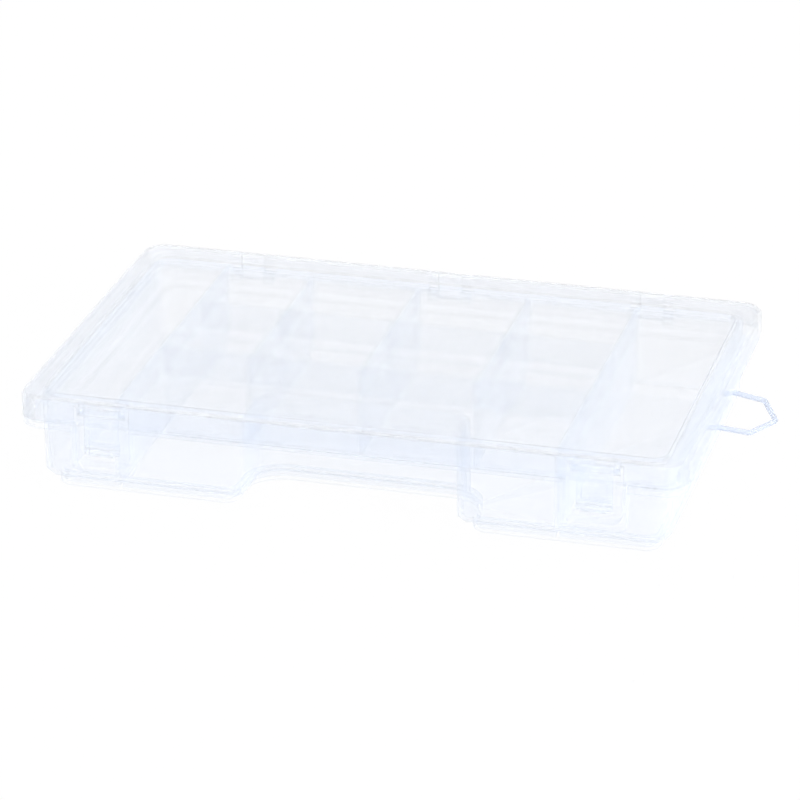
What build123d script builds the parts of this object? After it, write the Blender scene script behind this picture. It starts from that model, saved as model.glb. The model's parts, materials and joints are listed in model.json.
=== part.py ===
from build123d import *
from math import cos, radians, sin, tan
import os

# Clear hinged-lid organizer box, in millimetres.
# +Z is up, +X is to the right and the front faces -Y.
# The origin is the centre of the base's underside, midway between the lid's sides.

# Driving sizes of the whole box
lid_width = 356.0
lid_depth = 226.0
box_height = 57.0

# Lid: a raised rim around a recessed panel, with a skirt that hangs down outside
lid_corner_radius = 13.0
skirt_height = 13.6
skirt_wall = 2.0
rim_wall = 2.0
panel_wall = 1.8
recess_depth = 3.0
rim_side_width = 12.5
rim_front_width = 9.0
rim_back_width = 19.0
recess_corner_radius = 8.0
rim_outer_rounding = 2.8
rim_inner_chamfer = 0.9

# Base: a tray whose walls stand in under the lid, with a stepped foot that nests in a lid's recess
base_inset = 9.0
base_corner_radius = 10.0
base_wall = 2.0
wall_draft_angle = 1.0
floor_wall = 2.0
foot_height = 7.0
foot_inset = 6.0
foot_corner_radius = 8.0
foot_chamfer = 1.3
step_chamfer = 3.4
inner_step_chamfer = 2.2
panel_gap = 0.3

# Hand notch in the middle of the front, open below, with the rims running across it as a grip
notch_width = 112.0
notch_depth = 36.5
notch_corner_radius = 12.0
notch_mouth_radius = 6.0
grip_overlap = 8.0

# Flange around the base just under the lid's skirt
flange_wall = 1.8
flange_gap = 0.4
flange_setback = 0.5
flange_back_end = 98.0
corner_lip_height = 2.3
corner_lip_length = 50.0

# Fixed partitions, given by the places of their middle planes
partition_wall = 2.0
partition_draft_angle = 0.4
left_partition_x = -127.0
right_partition_x = 109.0
front_partition_y = -23.0
middle_partition_y = 44.0

# Removable dividers and the pairs of rails that hold them
divider_x_places = {"left": -78.0, "middle": -16.0, "right": 47.0}
divider_wall = 1.4
divider_end_gap = 0.3
divider_side_gap = 0.15
divider_top_drop = 3.0
divider_corner_rounding = 2.0
step_corner_rounding = 3.4
rail_wall = 1.2
rail_depth = 1.6

# Hinge: three pairs of ears on the base carry barrels with moulded pins on the lid
hinge_x_places = (-115.0, 0.0, 115.0)
hinge_axis_behind_wall = 5.2
hinge_axis_drop = 12.5
hinge_ear_radius = 3.2
hinge_ear_width = 5.0
hinge_barrel_radius = 3.0
hinge_barrel_width = 13.4
hinge_side_gap = 0.3
hinge_pin_radius = 1.5
hinge_pin_clearance = 0.05
hinge_snap_slot_width = 2.4
hinge_arm_reach = 1.7
hinge_notch_gap = 0.8
hinge_notch_rise = 4.6

# Latches: clips that hang in cut-outs of the lid's skirt and close over a bead on the base
latch_from_side = 46.7
latch_cutout_width = 30.0
latch_cutout_top_drop = 3.4
latch_axis_in = 2.4
latch_axis_drop = 6.8
clip_width = 19.0
clip_core_width = 13.0
clip_wall = 1.8
clip_flange_step = 0.7
clip_barrel_radius = 2.2
clip_length = 22.7
clip_lip_reach = 1.2
clip_lip_height = 3.0
clip_nib_reach = 1.9
clip_nib_height = 3.0
clip_nib_rise = 1.5
clip_nib_slope = 0.8
clip_face_rise = 1.8
trunnion_radius = 1.2
trunnion_clearance = 0.05
latch_ear_wall = 3.0
latch_ear_radius = 2.4
latch_ear_setback = 0.5
latch_ear_gap = 0.4
catch_gap = 0.3
catch_width = 16.0
catch_drop = 5.2
catch_height = 5.5
catch_slope = 1.0
flange_latch_gap = 0.5

# Guard: a U-shaped rib on the base's front wall around each clip
guard_width = 33.0
guard_wall = 1.8
guard_finger_gap = 7.2
guard_corner_radius = 8.0
guard_setback = 1.0
guard_ramp_height = 6.5

# Hang loop: a flat hexagonal ring that folds down about its inner side
loop_y = 5.0
loop_half_width = 25.0
loop_side_length = 21.0
loop_side_taper = 2.0
loop_reach = 31.5
loop_bar = 2.6
loop_plate = 2.4
loop_corner_radius = 3.0
loop_droop_angle = 7.0
loop_edge_chamfer = 0.5
loop_pin_end_gap = 1.0
loop_axis_from_wall = 4.6
loop_axis_below_flange = 2.3
loop_pin_radius = 1.3
loop_pin_clearance = 0.05
loop_ear_spacing = 26.0
loop_ear_width = 5.0
loop_ear_radius = 2.7
loop_snap_slot_width = 2.1

# Levels and places that follow from the sizes above
lid_front_y = -lid_depth / 2
lid_back_y = lid_depth / 2
skirt_bottom_z = box_height - skirt_height
rim_underside_z = box_height - rim_wall
panel_top_z = box_height - recess_depth
panel_bottom_z = panel_top_z - panel_wall
wall_top_z = panel_bottom_z - panel_gap
flange_top_z = skirt_bottom_z - flange_gap
flange_bottom_z = flange_top_z - flange_wall
base_width = lid_width - 2 * base_inset
base_depth = lid_depth - 2 * base_inset
base_front_y = -base_depth / 2
base_back_y = base_depth / 2
draft = tan(radians(wall_draft_angle))
wall_draft_run = (wall_top_z - foot_height) * draft
foot_total_inset = wall_draft_run + foot_inset
step_top_z = foot_height + floor_wall
inner_draft_run = (wall_top_z - step_top_z) * draft
hinge_axis_y = base_back_y + hinge_axis_behind_wall
hinge_axis_z = box_height - hinge_axis_drop
latch_x = lid_width / 2 - latch_from_side
latch_x_places = {"left": -latch_x, "right": latch_x}
latch_axis_y = lid_front_y + latch_axis_in
latch_axis_z = box_height - latch_axis_drop
clip_bottom_z = latch_axis_z - clip_length
catch_top_z = flange_bottom_z - catch_drop
catch_bottom_z = catch_top_z - catch_height
guard_bottom_z = clip_bottom_z - guard_finger_gap - guard_wall
guard_front_y = lid_front_y + guard_setback
clip_inner_y = lid_front_y + clip_wall
nib_tip_y = clip_inner_y + clip_nib_reach
catch_face_y = nib_tip_y + catch_gap
loop_axis_x = base_width / 2 + loop_axis_from_wall
loop_axis_z = flange_bottom_z - loop_axis_below_flange
divider_top_z = wall_top_z - divider_top_drop
divider_top_run = divider_top_drop * draft
partition_root_z = floor_wall / 2
step_middle_z = foot_height + floor_wall / 2
wall_middle_y = base_front_y + base_wall / 2
guard_ramp_bottom_z = guard_bottom_z - guard_ramp_height
flange_latch_y = catch_face_y + flange_latch_gap
corner_lip_width = latch_from_side - guard_width / 2
hinge_ear_offset = hinge_barrel_width / 2 + hinge_side_gap + hinge_ear_width / 2
hinge_pin_length = hinge_barrel_width + 2 * hinge_ear_width
hinge_notch_width = 2 * (hinge_ear_offset + hinge_ear_width / 2 + hinge_notch_gap)
hinge_notch_height = hinge_axis_z + hinge_notch_rise - skirt_bottom_z
latch_ear_offset = clip_width / 2 + latch_ear_gap + latch_ear_wall / 2
trunnion_length = clip_width + 2 * latch_ear_wall
clip_face_height = latch_axis_z + clip_face_rise - clip_bottom_z
clip_flange_width = (clip_width - clip_core_width) / 2
clip_flange_middle = (clip_width + clip_core_width) / 4
clip_nib_bottom_z = clip_bottom_z + clip_nib_rise
clip_nib_top_z = clip_nib_bottom_z + clip_nib_height
loop_pin_length = 2 * (loop_half_width - loop_bar) - loop_pin_end_gap


def draw_body_plan(inset, corner, mouth):
    """Draw the base's plan with its hand notch, moved inwards by inset all round."""
    RectangleRounded(base_width - 2 * inset, base_depth - 2 * inset, corner)
    with Locations((0, base_front_y)):
        Rectangle(notch_width + 2 * inset, 2 * (notch_depth + inset), mode=Mode.SUBTRACT)
    notch_corners = vertices().sort_by(lambda point: abs(point.X))[:4]
    fillet(notch_corners.sort_by(Axis.Y)[:2], mouth)
    notch_corners = vertices().sort_by(lambda point: abs(point.X))[:4]
    fillet(notch_corners.sort_by(Axis.Y)[2:], notch_corner_radius + inset)


def draw_lid_plan(inset, mode=Mode.ADD):
    """Draw the lid's outline, moved inwards by inset all round."""
    corner = lid_corner_radius - inset
    RectangleRounded(lid_width - 2 * inset, lid_depth - 2 * inset, corner, mode=mode)


def draw_recess_plan(grow):
    """Draw the outline of the lid's recessed panel, moved outwards by grow all round."""
    recess_width = lid_width - 2 * rim_side_width + 2 * grow
    recess_depth_y = lid_depth - rim_front_width - rim_back_width + 2 * grow
    with Locations((0, (rim_front_width - rim_back_width) / 2)):
        RectangleRounded(recess_width, recess_depth_y, recess_corner_radius + grow)


def draw_wall_plan(inset):
    """Draw the plan of the base's walls, whose corners keep their centres as it moves inwards."""
    draw_body_plan(inset, base_corner_radius - inset, notch_mouth_radius - inset)


def draw_foot_plan(inset):
    """Draw the plan of the foot, moved inwards by inset from its own outline."""
    corner = foot_corner_radius - inset
    draw_body_plan(foot_total_inset + inset, corner, corner)


# Outer form of the base: drafted walls over a smaller foot
with BuildPart() as base_form:
    with BuildSketch(Plane.XY.offset(foot_height)):
        draw_wall_plan(wall_draft_run)
    with BuildSketch(Plane.XY.offset(wall_top_z)):
        draw_wall_plan(0)
    loft(ruled=True)
    chamfer(base_form.faces().sort_by(Axis.Z)[0].edges(), step_chamfer)
    with BuildSketch(Plane.XY):
        draw_foot_plan(0)
    extrude(amount=foot_height + step_chamfer / 2)
    chamfer(base_form.faces().sort_by(Axis.Z)[0].edges(), foot_chamfer)

# Hollow of the base: the same plan less the wall, with a step above the foot
with BuildPart() as base_hollow:
    with BuildSketch(Plane.XY.offset(step_top_z)):
        draw_wall_plan(base_wall + inner_draft_run)
    with BuildSketch(Plane.XY.offset(wall_top_z)):
        draw_wall_plan(base_wall)
    loft(ruled=True)
    chamfer(base_hollow.faces().sort_by(Axis.Z)[0].edges(), inner_step_chamfer)
    with BuildSketch(Plane.XY.offset(floor_wall)):
        draw_foot_plan(base_wall)
    extrude(amount=step_top_z - floor_wall + inner_step_chamfer)

# Form halfway through the walls, which the partitions run into
wall_middle_run = (wall_top_z - step_middle_z) * draft
with BuildPart() as wall_middle_form:
    with BuildSketch(Plane.XY.offset(step_middle_z)):
        draw_wall_plan(base_wall / 2 + wall_middle_run)
    with BuildSketch(Plane.XY.offset(wall_top_z)):
        draw_wall_plan(base_wall / 2)
    loft(ruled=True)
    with BuildSketch(Plane.XY.offset(partition_root_z)):
        draw_foot_plan(base_wall / 2)
    extrude(amount=step_middle_z - partition_root_z)

# Fixed partitions, each a little thinner at its top
with BuildPart() as partitions:
    for place_x in (left_partition_x, right_partition_x):
        with BuildSketch(Plane.XY.offset(partition_root_z)):
            with Locations((place_x, 0)):
                Rectangle(partition_wall, base_depth)
        extrude(amount=wall_top_z - partition_root_z, taper=partition_draft_angle)
    for place_y in (front_partition_y, middle_partition_y):
        with BuildSketch(Plane.XY.offset(partition_root_z)):
            with Locations(((left_partition_x + right_partition_x) / 2, place_y)):
                Rectangle(right_partition_x - left_partition_x, partition_wall)
        extrude(amount=wall_top_z - partition_root_z, taper=partition_draft_angle)
    add(wall_middle_form.part, mode=Mode.INTERSECT)

# Latch guard: a U-shaped rib with a ramp below it, drawn for a latch at the middle of the front
guard_height = flange_bottom_z - guard_ramp_bottom_z
with BuildPart() as guard:
    with BuildSketch(Plane.YZ.offset(-guard_width / 2)):
        with BuildLine():
            Polyline(
                (wall_middle_y, flange_bottom_z),
                (guard_front_y, flange_bottom_z),
                (guard_front_y, guard_bottom_z),
                (wall_middle_y, guard_ramp_bottom_z),
                close=True,
            )
        make_face()
    extrude(amount=guard_width)
    with BuildSketch(Plane.XZ.offset(-wall_middle_y)) as guard_outline:
        with Locations((0, guard_ramp_bottom_z + guard_height / 2)):
            Rectangle(guard_width, guard_height)
        fillet(guard_outline.vertices().sort_by(Axis.Y)[:2], guard_corner_radius)
    extrude(amount=wall_middle_y - guard_front_y, mode=Mode.INTERSECT)
    with BuildSketch(Plane.XZ.offset(-base_front_y)) as guard_pocket:
        pocket_height = flange_bottom_z - guard_bottom_z - guard_wall
        with Locations((0, flange_bottom_z - pocket_height / 2)):
            Rectangle(guard_width - 2 * guard_wall, pocket_height)
        fillet(guard_pocket.vertices().sort_by(Axis.Y)[:2], guard_corner_radius - guard_wall)
    extrude(amount=base_front_y - guard_front_y, mode=Mode.SUBTRACT)

# Catch bead: the clip's nib closes over its lower edge
with BuildPart() as catch:
    with BuildSketch(Plane.YZ.offset(-catch_width / 2)):
        with BuildLine():
            Polyline(
                (wall_middle_y, catch_top_z),
                (catch_face_y, catch_top_z - catch_slope),
                (catch_face_y, catch_bottom_z + catch_slope),
                (wall_middle_y, catch_bottom_z),
                close=True,
            )
        make_face()
    extrude(amount=catch_width)

# Hinge ear: a rounded plate with an eye that is open below, so that the lid's pin snaps in
with BuildPart() as hinge_ear:
    with BuildSketch(Plane.YZ.offset(-hinge_ear_width / 2)):
        ear_root_y = base_back_y - base_wall / 2
        with Locations(((ear_root_y + hinge_axis_y) / 2, hinge_axis_z)):
            Rectangle(hinge_axis_y - ear_root_y, 2 * hinge_ear_radius)
        with Locations((hinge_axis_y, hinge_axis_z)):
            Circle(hinge_ear_radius)
            Circle(hinge_pin_radius + hinge_pin_clearance, mode=Mode.SUBTRACT)
        with Locations((hinge_axis_y, hinge_axis_z - hinge_ear_radius / 2)):
            Rectangle(hinge_snap_slot_width, hinge_ear_radius, mode=Mode.SUBTRACT)
    extrude(amount=hinge_ear_width)

# Loop ear: a hook under the flange, open below, that the ring's inner side snaps into
with BuildPart() as loop_ear:
    with BuildSketch(Plane.XZ.offset(-loop_ear_width / 2)):
        loop_ear_root_x = base_width / 2 - base_wall / 2
        loop_ear_length = loop_axis_x + loop_ear_radius - loop_ear_root_x
        loop_ear_rise = loop_axis_below_flange + flange_wall / 2
        with Locations((loop_ear_root_x + loop_ear_length / 2, loop_axis_z + loop_ear_rise / 2)):
            Rectangle(loop_ear_length, loop_ear_rise)
        with Locations((loop_axis_x, loop_axis_z)):
            Circle(loop_ear_radius)
            Circle(loop_pin_radius + loop_pin_clearance, mode=Mode.SUBTRACT)
        with Locations((loop_axis_x, loop_axis_z - loop_ear_radius / 2)):
            Rectangle(loop_snap_slot_width, loop_ear_radius, mode=Mode.SUBTRACT)
    extrude(amount=loop_ear_width)

# Rails: each divider stands between two pairs, one pair at each end
rail_offset_x = divider_wall / 2 + divider_side_gap + rail_wall / 2
rail_inner_end = partition_wall / 2 + rail_depth
with BuildPart() as rails:
    for place_x in divider_x_places.values():
        for side in (-1, 1):
            rail_x = place_x + side * rail_offset_x
            with BuildSketch(Plane.XY.offset(partition_root_z)):
                with Locations((rail_x, middle_partition_y)):
                    Rectangle(rail_wall, 2 * rail_inner_end)
                with Locations((rail_x, front_partition_y + rail_inner_end / 2)):
                    Rectangle(rail_wall, rail_inner_end)
            extrude(amount=divider_top_z - partition_root_z)
            with BuildSketch(Plane.XY.offset(step_middle_z)):
                with Locations((rail_x, base_back_y - base_wall - rail_depth / 2)):
                    Rectangle(rail_wall, rail_depth + base_wall)
            extrude(amount=divider_top_z - step_middle_z)

# The base as one moulding
with BuildPart() as base:
    add(base_form.part)
    add(base_hollow.part, mode=Mode.SUBTRACT)
    add(partitions.part)
    add(rails.part)
    with BuildSketch(Plane.XY.offset(flange_bottom_z)):
        with Locations((0, base_front_y + base_wall / 2)):
            Rectangle(notch_width + 2 * grip_overlap, base_wall)
    extrude(amount=wall_top_z - flange_bottom_z)
    with BuildSketch(Plane.XY.offset(flange_bottom_z)):
        draw_lid_plan(flange_setback)
        RectangleRounded(
            base_width - base_wall,
            base_depth - base_wall,
            base_corner_radius - base_wall / 2,
            mode=Mode.SUBTRACT,
        )
        with Locations((0, flange_back_end)):
            Rectangle(lid_width, lid_depth, align=(Align.CENTER, Align.MIN), mode=Mode.SUBTRACT)
        with Locations([(place_x, flange_latch_y) for place_x in latch_x_places.values()]):
            Rectangle(latch_cutout_width, base_inset, align=(Align.CENTER, Align.MAX), mode=Mode.SUBTRACT)
    extrude(amount=flange_wall)
    with BuildSketch(Plane.XY.offset(flange_bottom_z - corner_lip_height)):
        draw_lid_plan(flange_setback)
        draw_lid_plan(flange_setback + flange_wall, mode=Mode.SUBTRACT)
        with Locations([(side * lid_width / 2, lid_front_y) for side in (-1, 1)]):
            Rectangle(2 * corner_lip_width, 2 * corner_lip_length, mode=Mode.INTERSECT)
    extrude(amount=corner_lip_height + flange_wall / 2)
    with Locations([(place_x, 0) for place_x in latch_x_places.values()]):
        add(guard.part)
        add(catch.part)
    for place_x in hinge_x_places:
        with Locations([(place_x + side * hinge_ear_offset, 0) for side in (-1, 1)]):
            add(hinge_ear.part)
    with Locations([(0, loop_y + side * loop_ear_spacing / 2) for side in (-1, 1)]):
        add(loop_ear.part)

# Latch ear: hangs from the underside of the lid's rim beside a clip
with BuildPart() as latch_ear:
    with BuildSketch(Plane.YZ.offset(-latch_ear_wall / 2)):
        latch_ear_rise = rim_underside_z + rim_wall / 4 - latch_axis_z
        with Locations((latch_axis_y + latch_ear_setback / 2, latch_axis_z + latch_ear_rise / 2)):
            Rectangle(2 * latch_ear_radius - latch_ear_setback, latch_ear_rise)
        with Locations((latch_axis_y, latch_axis_z)):
            Circle(latch_ear_radius)
            Circle(trunnion_radius + trunnion_clearance, mode=Mode.SUBTRACT)
    extrude(amount=latch_ear_wall)

# Hinge barrel with its arm and its two moulded pins
barrel_arm_back_y = lid_back_y - skirt_wall / 2
barrel_arm_front_y = hinge_axis_y - hinge_arm_reach
with BuildPart() as hinge_barrel:
    with BuildSketch(Plane.YZ.offset(-hinge_barrel_width / 2)):
        arm_rise = rim_underside_z + rim_wall / 2 - hinge_axis_z
        with Locations(((barrel_arm_front_y + barrel_arm_back_y) / 2, hinge_axis_z + arm_rise / 2)):
            Rectangle(barrel_arm_back_y - barrel_arm_front_y, arm_rise)
        with Locations((hinge_axis_y, hinge_axis_z)):
            Circle(hinge_barrel_radius)
    extrude(amount=hinge_barrel_width)
    with BuildSketch(Plane.YZ.offset(-hinge_pin_length / 2)):
        with Locations((hinge_axis_y, hinge_axis_z)):
            Circle(hinge_pin_radius)
    extrude(amount=hinge_pin_length)

# The lid as one moulding
with BuildPart() as lid:
    with BuildSketch(Plane.XY.offset(skirt_bottom_z)):
        draw_lid_plan(0)
    extrude(amount=skirt_height)
    fillet(lid.faces().sort_by(Axis.Z)[-1].edges(), rim_outer_rounding)
    with BuildSketch(Plane.XY.offset(skirt_bottom_z)):
        draw_lid_plan(skirt_wall)
    extrude(amount=rim_underside_z - skirt_bottom_z, mode=Mode.SUBTRACT)
    with BuildSketch(Plane.XY.offset(panel_bottom_z)):
        draw_recess_plan(panel_wall)
    extrude(amount=rim_underside_z + rim_wall / 2 - panel_bottom_z)
    with BuildSketch(Plane.XY.offset(panel_top_z)):
        draw_recess_plan(0)
    extrude(amount=recess_depth, mode=Mode.SUBTRACT)
    chamfer(lid.faces().sort_by(Axis.Z)[-1].inner_wires()[0].edges(), rim_inner_chamfer)
    with BuildSketch(Plane.XZ.offset(-lid_front_y)):
        cutout_height = box_height - latch_cutout_top_drop - skirt_bottom_z
        with Locations([(place_x, skirt_bottom_z) for place_x in latch_x_places.values()]):
            Rectangle(latch_cutout_width, cutout_height, align=(Align.CENTER, Align.MIN))
    extrude(amount=-skirt_wall, mode=Mode.SUBTRACT)
    with BuildSketch(Plane.XZ.offset(-lid_back_y)):
        with Locations([(place_x, skirt_bottom_z) for place_x in hinge_x_places]):
            Rectangle(hinge_notch_width, hinge_notch_height, align=(Align.CENTER, Align.MIN))
    extrude(amount=skirt_wall, mode=Mode.SUBTRACT)
    for place_x in latch_x_places.values():
        with Locations([(place_x + side * latch_ear_offset, 0) for side in (-1, 1)]):
            add(latch_ear.part)
    with Locations([(place_x, 0) for place_x in hinge_x_places]):
        add(hinge_barrel.part)

os.makedirs("parts", exist_ok=True)
base.part.label = "base"
export_step(base.part, "parts/base.step")
lid.part.label = "lid"
export_step(lid.part, "parts/lid.step")

# Latch clips: a barrel with trunnions, a face plate with a raised core, a nib and a finger lip
for side_name, place_x in latch_x_places.items():
    with BuildPart() as clip:
        with BuildSketch(Plane.YZ.offset(place_x - clip_width / 2)):
            with Locations((latch_axis_y, latch_axis_z)):
                Circle(clip_barrel_radius)
            with Locations((lid_front_y, clip_bottom_z)):
                Rectangle(clip_wall, clip_face_height, align=(Align.MIN, Align.MIN))
            with BuildLine():
                Polyline(
                    (clip_inner_y - clip_wall / 2, clip_nib_top_z),
                    (nib_tip_y, clip_nib_top_z - clip_nib_slope),
                    (nib_tip_y, clip_nib_bottom_z + clip_nib_slope),
                    (clip_inner_y - clip_wall / 2, clip_nib_bottom_z),
                    close=True,
                )
            make_face()
        extrude(amount=clip_width)
        with BuildSketch(Plane.XZ.offset(-lid_front_y)):
            with Locations([(place_x + side * clip_flange_middle, clip_bottom_z) for side in (-1, 1)]):
                Rectangle(clip_flange_width, clip_face_height, align=(Align.CENTER, Align.MIN))
        extrude(amount=-clip_flange_step, mode=Mode.SUBTRACT)
        with BuildSketch(Plane.YZ.offset(place_x - clip_core_width / 2)):
            with BuildLine():
                Polyline(
                    (lid_front_y + clip_wall / 2, clip_bottom_z),
                    (lid_front_y - clip_lip_reach, clip_bottom_z),
                    (lid_front_y, clip_bottom_z + clip_lip_height),
                    (lid_front_y + clip_wall / 2, clip_bottom_z + clip_lip_height),
                    close=True,
                )
            make_face()
        extrude(amount=clip_core_width)
        with BuildSketch(Plane.YZ.offset(place_x - trunnion_length / 2)):
            with Locations((latch_axis_y, latch_axis_z)):
                Circle(trunnion_radius)
        extrude(amount=trunnion_length)
    clip.part.label = f"latch_{side_name}"
    export_step(clip.part, f"parts/latch_{side_name}.step")

# Hang loop: a hexagonal ring whose inner side is round, to turn in its ears
droop = radians(loop_droop_angle)
loop_plane = Plane(
    origin=(loop_axis_x, loop_y, loop_axis_z),
    x_dir=(cos(droop), 0, -sin(droop)),
    z_dir=(sin(droop), 0, cos(droop)),
)
with BuildPart() as hang_loop:
    with BuildSketch(loop_plane.offset(-loop_plate / 2)) as loop_outline:
        with BuildLine():
            Polyline(
                (-loop_bar / 2, -loop_half_width),
                (loop_side_length, -loop_half_width + loop_side_taper),
                (loop_reach, 0),
                (loop_side_length, loop_half_width - loop_side_taper),
                (-loop_bar / 2, loop_half_width),
                close=True,
            )
        make_face()
        fillet(loop_outline.vertices().sort_by(Axis.X)[2:], loop_corner_radius)
        offset(amount=-loop_bar, mode=Mode.SUBTRACT)
    extrude(amount=loop_plate)
    chamfer(hang_loop.faces().filter_by(loop_plane).edges(), loop_edge_chamfer)
    with BuildSketch(loop_plane.offset(-loop_plate / 2)):
        Rectangle(2 * loop_bar, loop_pin_length, mode=Mode.ADD)
    extrude(amount=loop_plate, mode=Mode.SUBTRACT)
    with BuildSketch(Plane.XZ.offset(-loop_y - loop_pin_length / 2 - loop_bar / 2)):
        with Locations((loop_axis_x, loop_axis_z)):
            Circle(loop_pin_radius)
    extrude(amount=loop_pin_length + loop_bar)
hang_loop.part.label = "hang_loop"
export_step(hang_loop.part, "parts/hang_loop.step")

# Dividers: the back ones are notched to clear the step above the foot
back_wall_inner_y = base_back_y - base_wall - divider_end_gap
step_inner_y = base_back_y - foot_total_inset - base_wall - divider_end_gap
row_front_y = {"back": middle_partition_y, "front": front_partition_y}
for row_name, row_y in row_front_y.items():
    for side_name, place_x in divider_x_places.items():
        front_end_y = row_y + partition_wall / 2 + divider_end_gap
        with BuildPart() as divider:
            with BuildSketch(Plane.YZ.offset(place_x - divider_wall / 2)) as divider_outline:
                with BuildLine():
                    if row_name == "back":
                        Polyline(
                            (front_end_y, floor_wall),
                            (step_inner_y, floor_wall),
                            (step_inner_y, step_top_z + divider_end_gap),
                            (back_wall_inner_y - inner_draft_run, step_top_z + divider_end_gap),
                            (back_wall_inner_y - divider_top_run, divider_top_z),
                            (front_end_y, divider_top_z),
                            close=True,
                        )
                    else:
                        back_end_y = middle_partition_y - partition_wall / 2 - divider_end_gap
                        Polyline(
                            (front_end_y, floor_wall),
                            (back_end_y, floor_wall),
                            (back_end_y, divider_top_z),
                            (front_end_y, divider_top_z),
                            close=True,
                        )
                make_face()
                fillet(divider_outline.vertices().group_by(Axis.Y)[-1], divider_corner_rounding)
                if row_name == "back":
                    step_corner = divider_outline.vertices().filter_by_position(
                        Axis.Y, step_top_z, step_top_z + 2 * divider_end_gap
                    )
                    fillet(step_corner.sort_by(Axis.X)[-1:], step_corner_rounding)
            extrude(amount=divider_wall)
        divider.part.label = f"divider_{row_name}_{side_name}"
        export_step(divider.part, f"parts/divider_{row_name}_{side_name}.step")
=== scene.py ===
# %% [markdown]
# # A clear organizer box
# The box is moulded from natural polypropylene, a plastic that lets light through but scatters a little of
# it, so its walls look pale blue-white and what stands behind them looks soft. Its shape is complete in
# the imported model, so this file adds what the model can't hold: the plastic of each piece, and the floor,
# the light and the camera of a plain product picture.

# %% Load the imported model
import json
import math

import bpy
from mathutils import Matrix, Vector

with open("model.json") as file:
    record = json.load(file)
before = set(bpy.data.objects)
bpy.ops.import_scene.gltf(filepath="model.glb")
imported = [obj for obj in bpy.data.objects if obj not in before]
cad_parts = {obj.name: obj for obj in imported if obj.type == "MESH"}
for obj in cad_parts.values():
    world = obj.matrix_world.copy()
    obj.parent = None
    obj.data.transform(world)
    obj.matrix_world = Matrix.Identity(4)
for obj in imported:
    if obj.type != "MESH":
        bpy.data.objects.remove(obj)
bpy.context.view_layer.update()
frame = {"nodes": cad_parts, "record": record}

scene = bpy.context.scene
bpy.ops.object.select_all(action="DESELECT")
print("nodes:", sorted(frame["nodes"]))

# %% [markdown]
# ## The camera
# The picture was taken from in front of the box, a little to its right and well above it, with a long
# lens. A camera's place is easiest to get right as three facts: where the eye is, which way it looks, and
# how long the lens is. The look is given as a turn about the vertical and a tilt below the horizon, and
# the small roll that is left is a hand-held camera's. All of them were found by moving the camera until
# the box's corners, its notch and its clips fell on their places in the picture.

# %% The camera
EYE = Vector((0.52397, -1.97166, 0.92247))
TURN = math.radians(14.8867)
TILT = math.radians(23.7172)
ROLL = math.radians(0.0382)
FOCAL_PIXELS = 4139.0
IMAGE_PIXELS = 800.0
SENSOR_MM = 36.0
NEAREST = 0.05
FARTHEST = 50.0

forward = Vector((-math.sin(TURN) * math.cos(TILT), math.cos(TURN) * math.cos(TILT), -math.sin(TILT)))
level_right = forward.cross(Vector((0, 0, 1))).normalized()
level_up = level_right.cross(forward)
right = math.cos(ROLL) * level_right + math.sin(ROLL) * level_up
up = right.cross(forward)
camera_data = bpy.data.cameras.new("camera")
camera_data.sensor_width = SENSOR_MM
camera_data.lens = SENSOR_MM * FOCAL_PIXELS / IMAGE_PIXELS
camera_data.clip_start = NEAREST
camera_data.clip_end = FARTHEST
camera = bpy.data.objects.new("camera", camera_data)
scene.collection.objects.link(camera)
camera.matrix_world = Matrix.Translation(EYE) @ Matrix((right, up, -forward)).transposed().to_4x4()
scene.camera = camera
print("lens in mm:", round(camera_data.lens, 1))

# %% [markdown]
# ## Shader maths in plain Python
# A procedural finish is a small calculation on sockets, and wired by hand it soon becomes hard to read.
# One class wraps an output socket, so that an ordinary expression such as `1 - mask` adds the Math node
# that works it out. Its one method `node` adds every other kind of node: the node's settings are set
# first, and then its sockets get values or links.

# %% A class for sockets
class Wire:
    """An output socket of a node tree that Python's operators work on."""

    def __init__(self, tree, socket=None):
        self.tree = tree
        self.socket = socket

    def node(self, kind, sockets, settings=(), output=0):
        made = self.tree.nodes.new(kind)
        for setting, value in dict(settings).items():
            setattr(made, setting, value)
        for socket, value in sockets.items():
            if isinstance(value, Wire):
                self.tree.links.new(value.socket, made.inputs[socket])
            else:
                made.inputs[socket].default_value = value
        return Wire(self.tree, made.outputs[output]) if made.outputs else None

    def math(self, operation, first, second):
        return self.node("ShaderNodeMath", {0: first, 1: second}, {"operation": operation})

    def __add__(self, other):
        return self.math("ADD", self, other)

    def __radd__(self, other):
        return self.math("ADD", other, self)

    def __sub__(self, other):
        return self.math("SUBTRACT", self, other)

    def __rsub__(self, other):
        return self.math("SUBTRACT", other, self)

    def __mul__(self, other):
        return self.math("MULTIPLY", self, other)

    def __rmul__(self, other):
        return self.math("MULTIPLY", other, self)


def empty_tree(owner):
    """Switch an owner's nodes on, clear them and return a start for its wires."""
    owner.use_nodes = True
    owner.node_tree.nodes.clear()
    return Wire(owner.node_tree)


# %% [markdown]
# ## Natural polypropylene
# Polypropylene with no pigment is milky. A thin wall lets most light straight through, scatters a little
# of it and takes out some red, so the plastic looks faintly blue where several walls lie behind each
# other. Three numbers describe that. The veil is how much of the light a wall catches when it is seen face
# on. The edge is the same for a wall seen along its surface, where the look passes through far more
# plastic. The clearness says how much of the caught light goes on through the wall, bent by it, and isn't
# scattered back. Moulding leaves two quiet marks as well: the flow of the melt varies the tint in wide
# soft clouds, and the tool's spark-eroded face gives a fine uneven satin. The flow is a wide noise in the
# tint, the satin a fine noise in the roughness and a faint bump.

# %% A recipe for the plastic
REFRACTION = 1.49
FLOW_SCALE = 9.0
FLOW_DETAIL = 2.0
FLOW_DEPTH = 1.3
SATIN_SCALE = 420.0
SATIN_DETAIL = 3.0
SATIN_HEIGHT = 0.00002
SATIN_STRENGTH = 0.5
SATIN_SPREAD = 0.4
EDGE_BLEND = 0.15

finishes = {}


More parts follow.
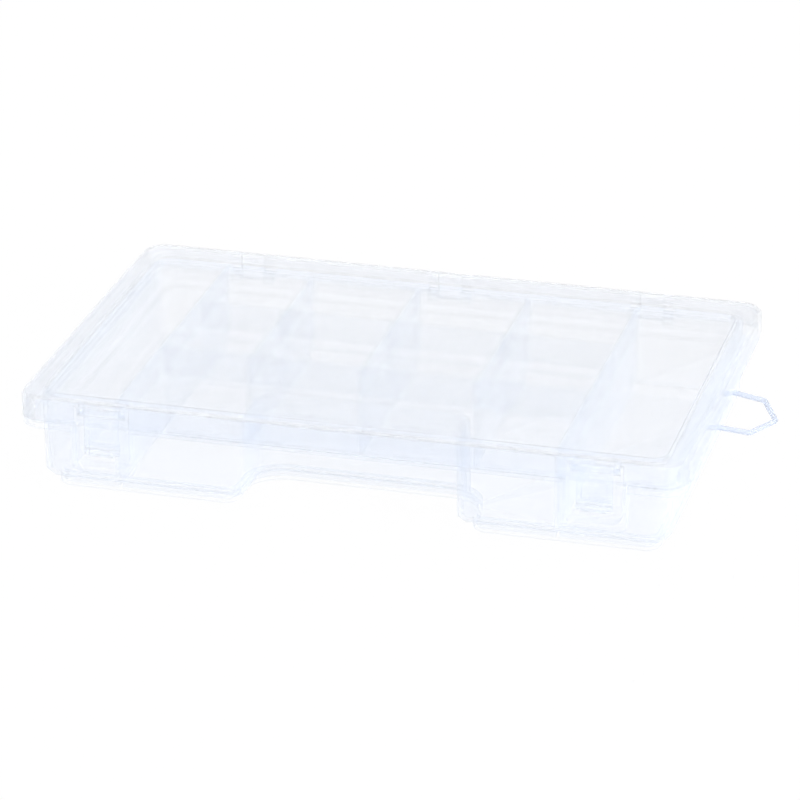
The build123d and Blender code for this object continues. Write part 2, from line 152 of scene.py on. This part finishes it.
def natural_plastic(slot, tint, roughness, clearness, veil, edge):
    """Make a slot's plastic, which tints, blurs and passes light and is more opaque edge on."""
    material = bpy.data.materials.new(slot)
    start = empty_tree(material)
    place = start.node("ShaderNodeTexCoord", {}, output="Object")
    flow = start.node("ShaderNodeTexNoise", {"Vector": place, "Scale": FLOW_SCALE, "Detail": FLOW_DETAIL})
    pale = [*tint, 1.0]
    deep = [*(side ** FLOW_DEPTH for side in tint), 1.0]
    shades = {"Factor": flow, "A": pale, "B": deep}
    colour = start.node("ShaderNodeMix", shades, {"data_type": "RGBA"}, "Result")
    satin = start.node("ShaderNodeTexNoise", {"Vector": place, "Scale": SATIN_SCALE, "Detail": SATIN_DETAIL})
    relief = {"Height": satin, "Distance": SATIN_HEIGHT, "Strength": SATIN_STRENGTH}
    bump = start.node("ShaderNodeBump", relief)
    facing = start.node("ShaderNodeLayerWeight", {"Blend": EDGE_BLEND}, output="Facing")
    surface = start.node("ShaderNodeBsdfPrincipled", {
        "Base Color": colour,
        "Roughness": roughness * (1.0 - SATIN_SPREAD / 2 + SATIN_SPREAD * satin),
        "Alpha": veil + (edge - veil) * facing,
        "Normal": bump,
        "IOR": REFRACTION,
        "Transmission Weight": clearness,
    })
    start.node("ShaderNodeOutputMaterial", {"Surface": surface})
    finishes[slot] = material


# %% [markdown]
# ## The tray and its dividers
# The tray is the deepest moulding and a look through the box passes the most of it, so its tint sets the
# colour of the whole. Its walls have a thin veil and scatter most of what they catch: that turns the sides
# of the partitions that face the lamp into bright bands, as a milky wall in side light does. The dividers
# are cut from thinner sheet, so they have the same finish in a paler tint.

# %% The plastic of the tray and the dividers
MILKY = {"roughness": 0.20, "clearness": 0.45, "veil": 0.05, "edge": 0.75}

natural_plastic("tray_plastic", tint=(0.81, 0.878, 1.0), **MILKY)
natural_plastic("divider_plastic", tint=(0.87, 0.915, 1.0), **MILKY)
print("milky plastics:", sorted(finishes))

# %% [markdown]
# ## The lid, the clips and the loop
# The lid is polished on its outside and lies over everything else, so it is clearer: it bends the look
# through it and only softens what lies under it, and its rims show as fine lines. The clips and the hang
# loop are small and thick for their size. Light has further to go in them, so they get more veil, and the
# loop the deepest tint.

# %% The plastic of the lid, the clips and the loop
natural_plastic("lid_plastic", tint=(0.87, 0.915, 1.0), roughness=0.12, clearness=0.9, veil=0.20, edge=0.95)
natural_plastic("latch_plastic", tint=(0.86, 0.91, 1.0), roughness=0.10, clearness=0.7, veil=0.30, edge=0.9)
natural_plastic("loop_plastic", tint=(0.76, 0.83, 0.98), roughness=0.10, clearness=0.7, veil=0.60, edge=0.95)
print("all plastics:", sorted(finishes))

# %% [markdown]
# ## Every piece gets its plastic
# The record names a material slot for each piece, and the recipe has kept each plastic under its slot, so
# one loop over the record hands them out.

# %% Hand out the plastics
for row in frame["record"]["subparts"]:
    piece = frame["nodes"][row["node"]]
    piece.data.materials.clear()
    piece.data.materials.append(finishes[row["material_slot"]])
    print(row["node"], "is", row["material_slot"])

# %% [markdown]
# ## A white floor
# The picture has no backdrop to see: the box stands on plain white. The floor is white by itself only to
# the camera, to reflections and to a look through the plastic, because clear plastic shows mostly what is
# behind it. All other rays meet a real pale floor, which sends light back up into the box. A small part of
# the real floor stays in what the camera sees, and that part keeps the box's faint shadow.

# %% The floor
FLOOR_SIZE = 8.0
FLOOR_PALE = (0.9, 0.9, 0.9, 1.0)
FLOOR_WHITE = 0.97


def seen_directly(start):
    """One for a ray of the camera, a reflection or a ray through plastic, else nothing."""
    camera_ray = start.node("ShaderNodeLightPath", {}, output="Is Camera Ray")
    mirror_ray = start.node("ShaderNodeLightPath", {}, output="Is Glossy Ray")
    plastic_ray = start.node("ShaderNodeLightPath", {}, output="Is Transmission Ray")
    return start.math("MAXIMUM", start.math("MAXIMUM", camera_ray, mirror_ray), plastic_ray)


bpy.ops.mesh.primitive_plane_add(size=FLOOR_SIZE)
floor = bpy.context.object
floor.name = "floor"
floor_paint = bpy.data.materials.new("floor_paint")
start = empty_tree(floor_paint)
lit = start.node("ShaderNodeBsdfDiffuse", {"Color": FLOOR_PALE})
white = start.node("ShaderNodeEmission", {"Strength": 1.0})
both = start.node("ShaderNodeMixShader", {0: FLOOR_WHITE * seen_directly(start), 1: lit, 2: white})
start.node("ShaderNodeOutputMaterial", {"Surface": both})
floor.data.materials.append(floor_paint)
print("floor in metres:", FLOOR_SIZE)

# %% [markdown]
# ## A white room that is dim behind the box
# Light from all sides is what makes the plastic pale. But clear plastic in a wholly white room has no
# outline, so a studio keeps something dim behind the piece: the rims catch it and draw themselves as fine
# blue-grey lines. Here the room is one white world whose strength sinks in a soft spot on the horizon
# behind the box. The camera itself sees plain white.

# %% The room
WHITE = (1.0, 1.0, 1.0, 1.0)
ROOM_LEVEL = 1.12
DIM_WAY = (0.0, 1.0, 0.0)
DIM_DEPTH = 0.7
DIM_TIGHTNESS = 12.0

world = bpy.data.worlds.new("studio")
scene.world = world
start = empty_tree(world)
way = start.node("ShaderNodeTexCoord", {}, output="Generated")
toward = start.node("ShaderNodeVectorMath", {0: way, 1: DIM_WAY}, {"operation": "DOT_PRODUCT"}, "Value")
behind = start.math("MAXIMUM", toward, 0.0)
level = ROOM_LEVEL - DIM_DEPTH * start.math("POWER", behind, DIM_TIGHTNESS)
camera_ray = start.node("ShaderNodeLightPath", {}, output="Is Camera Ray")
strength = level + camera_ray * (1.0 - level)
sky = start.node("ShaderNodeBackground", {"Color": WHITE, "Strength": strength})
start.node("ShaderNodeOutputWorld", {"Surface": sky})
scene.view_settings.view_transform = "Standard"
print("room level:", ROOM_LEVEL)

# %% [markdown]
# ## One soft lamp
# The faces of the partitions that look to the right are the brightest ones in the picture, and the front
# is brighter than the top. So the studio's lamp stands low on the right, a little towards the front. It is
# far enough away to light the left half of the box nearly as much as the right, and wide, which keeps
# shadows soft.

# %% The lamp
LAMP_PLACE = Vector((3.6, -1.2, 1.0))
LAMP_WIDTH = 1.2
LAMP_POWER = 85.0

lamp_data = bpy.data.lights.new("softbox", "AREA")
lamp_data.size = LAMP_WIDTH
lamp_data.energy = LAMP_POWER
lamp = bpy.data.objects.new("softbox", lamp_data)
lamp.location = LAMP_PLACE
lamp.rotation_euler = (-LAMP_PLACE).to_track_quat("-Z", "Y").to_euler()
scene.collection.objects.link(lamp)
print("lamp's distance in metres:", round(LAMP_PLACE.length, 2))

# %% [markdown]
# ## Depth of clear plastic
# A look through the box passes the lid, the partitions and the tray, and each wall has two faces. The
# renderer stops a ray after so many faces and leaves it black, so the limits are raised well past what the
# box needs.

# %% Ray limits
FACES_STRAIGHT = 64
FACES_BENT = 48
MIRRORINGS = 12

scene.cycles.transparent_max_bounces = FACES_STRAIGHT
scene.cycles.max_bounces = FACES_BENT
scene.cycles.transmission_bounces = FACES_BENT
scene.cycles.glossy_bounces = MIRRORINGS
print("faces in one look:", FACES_BENT)
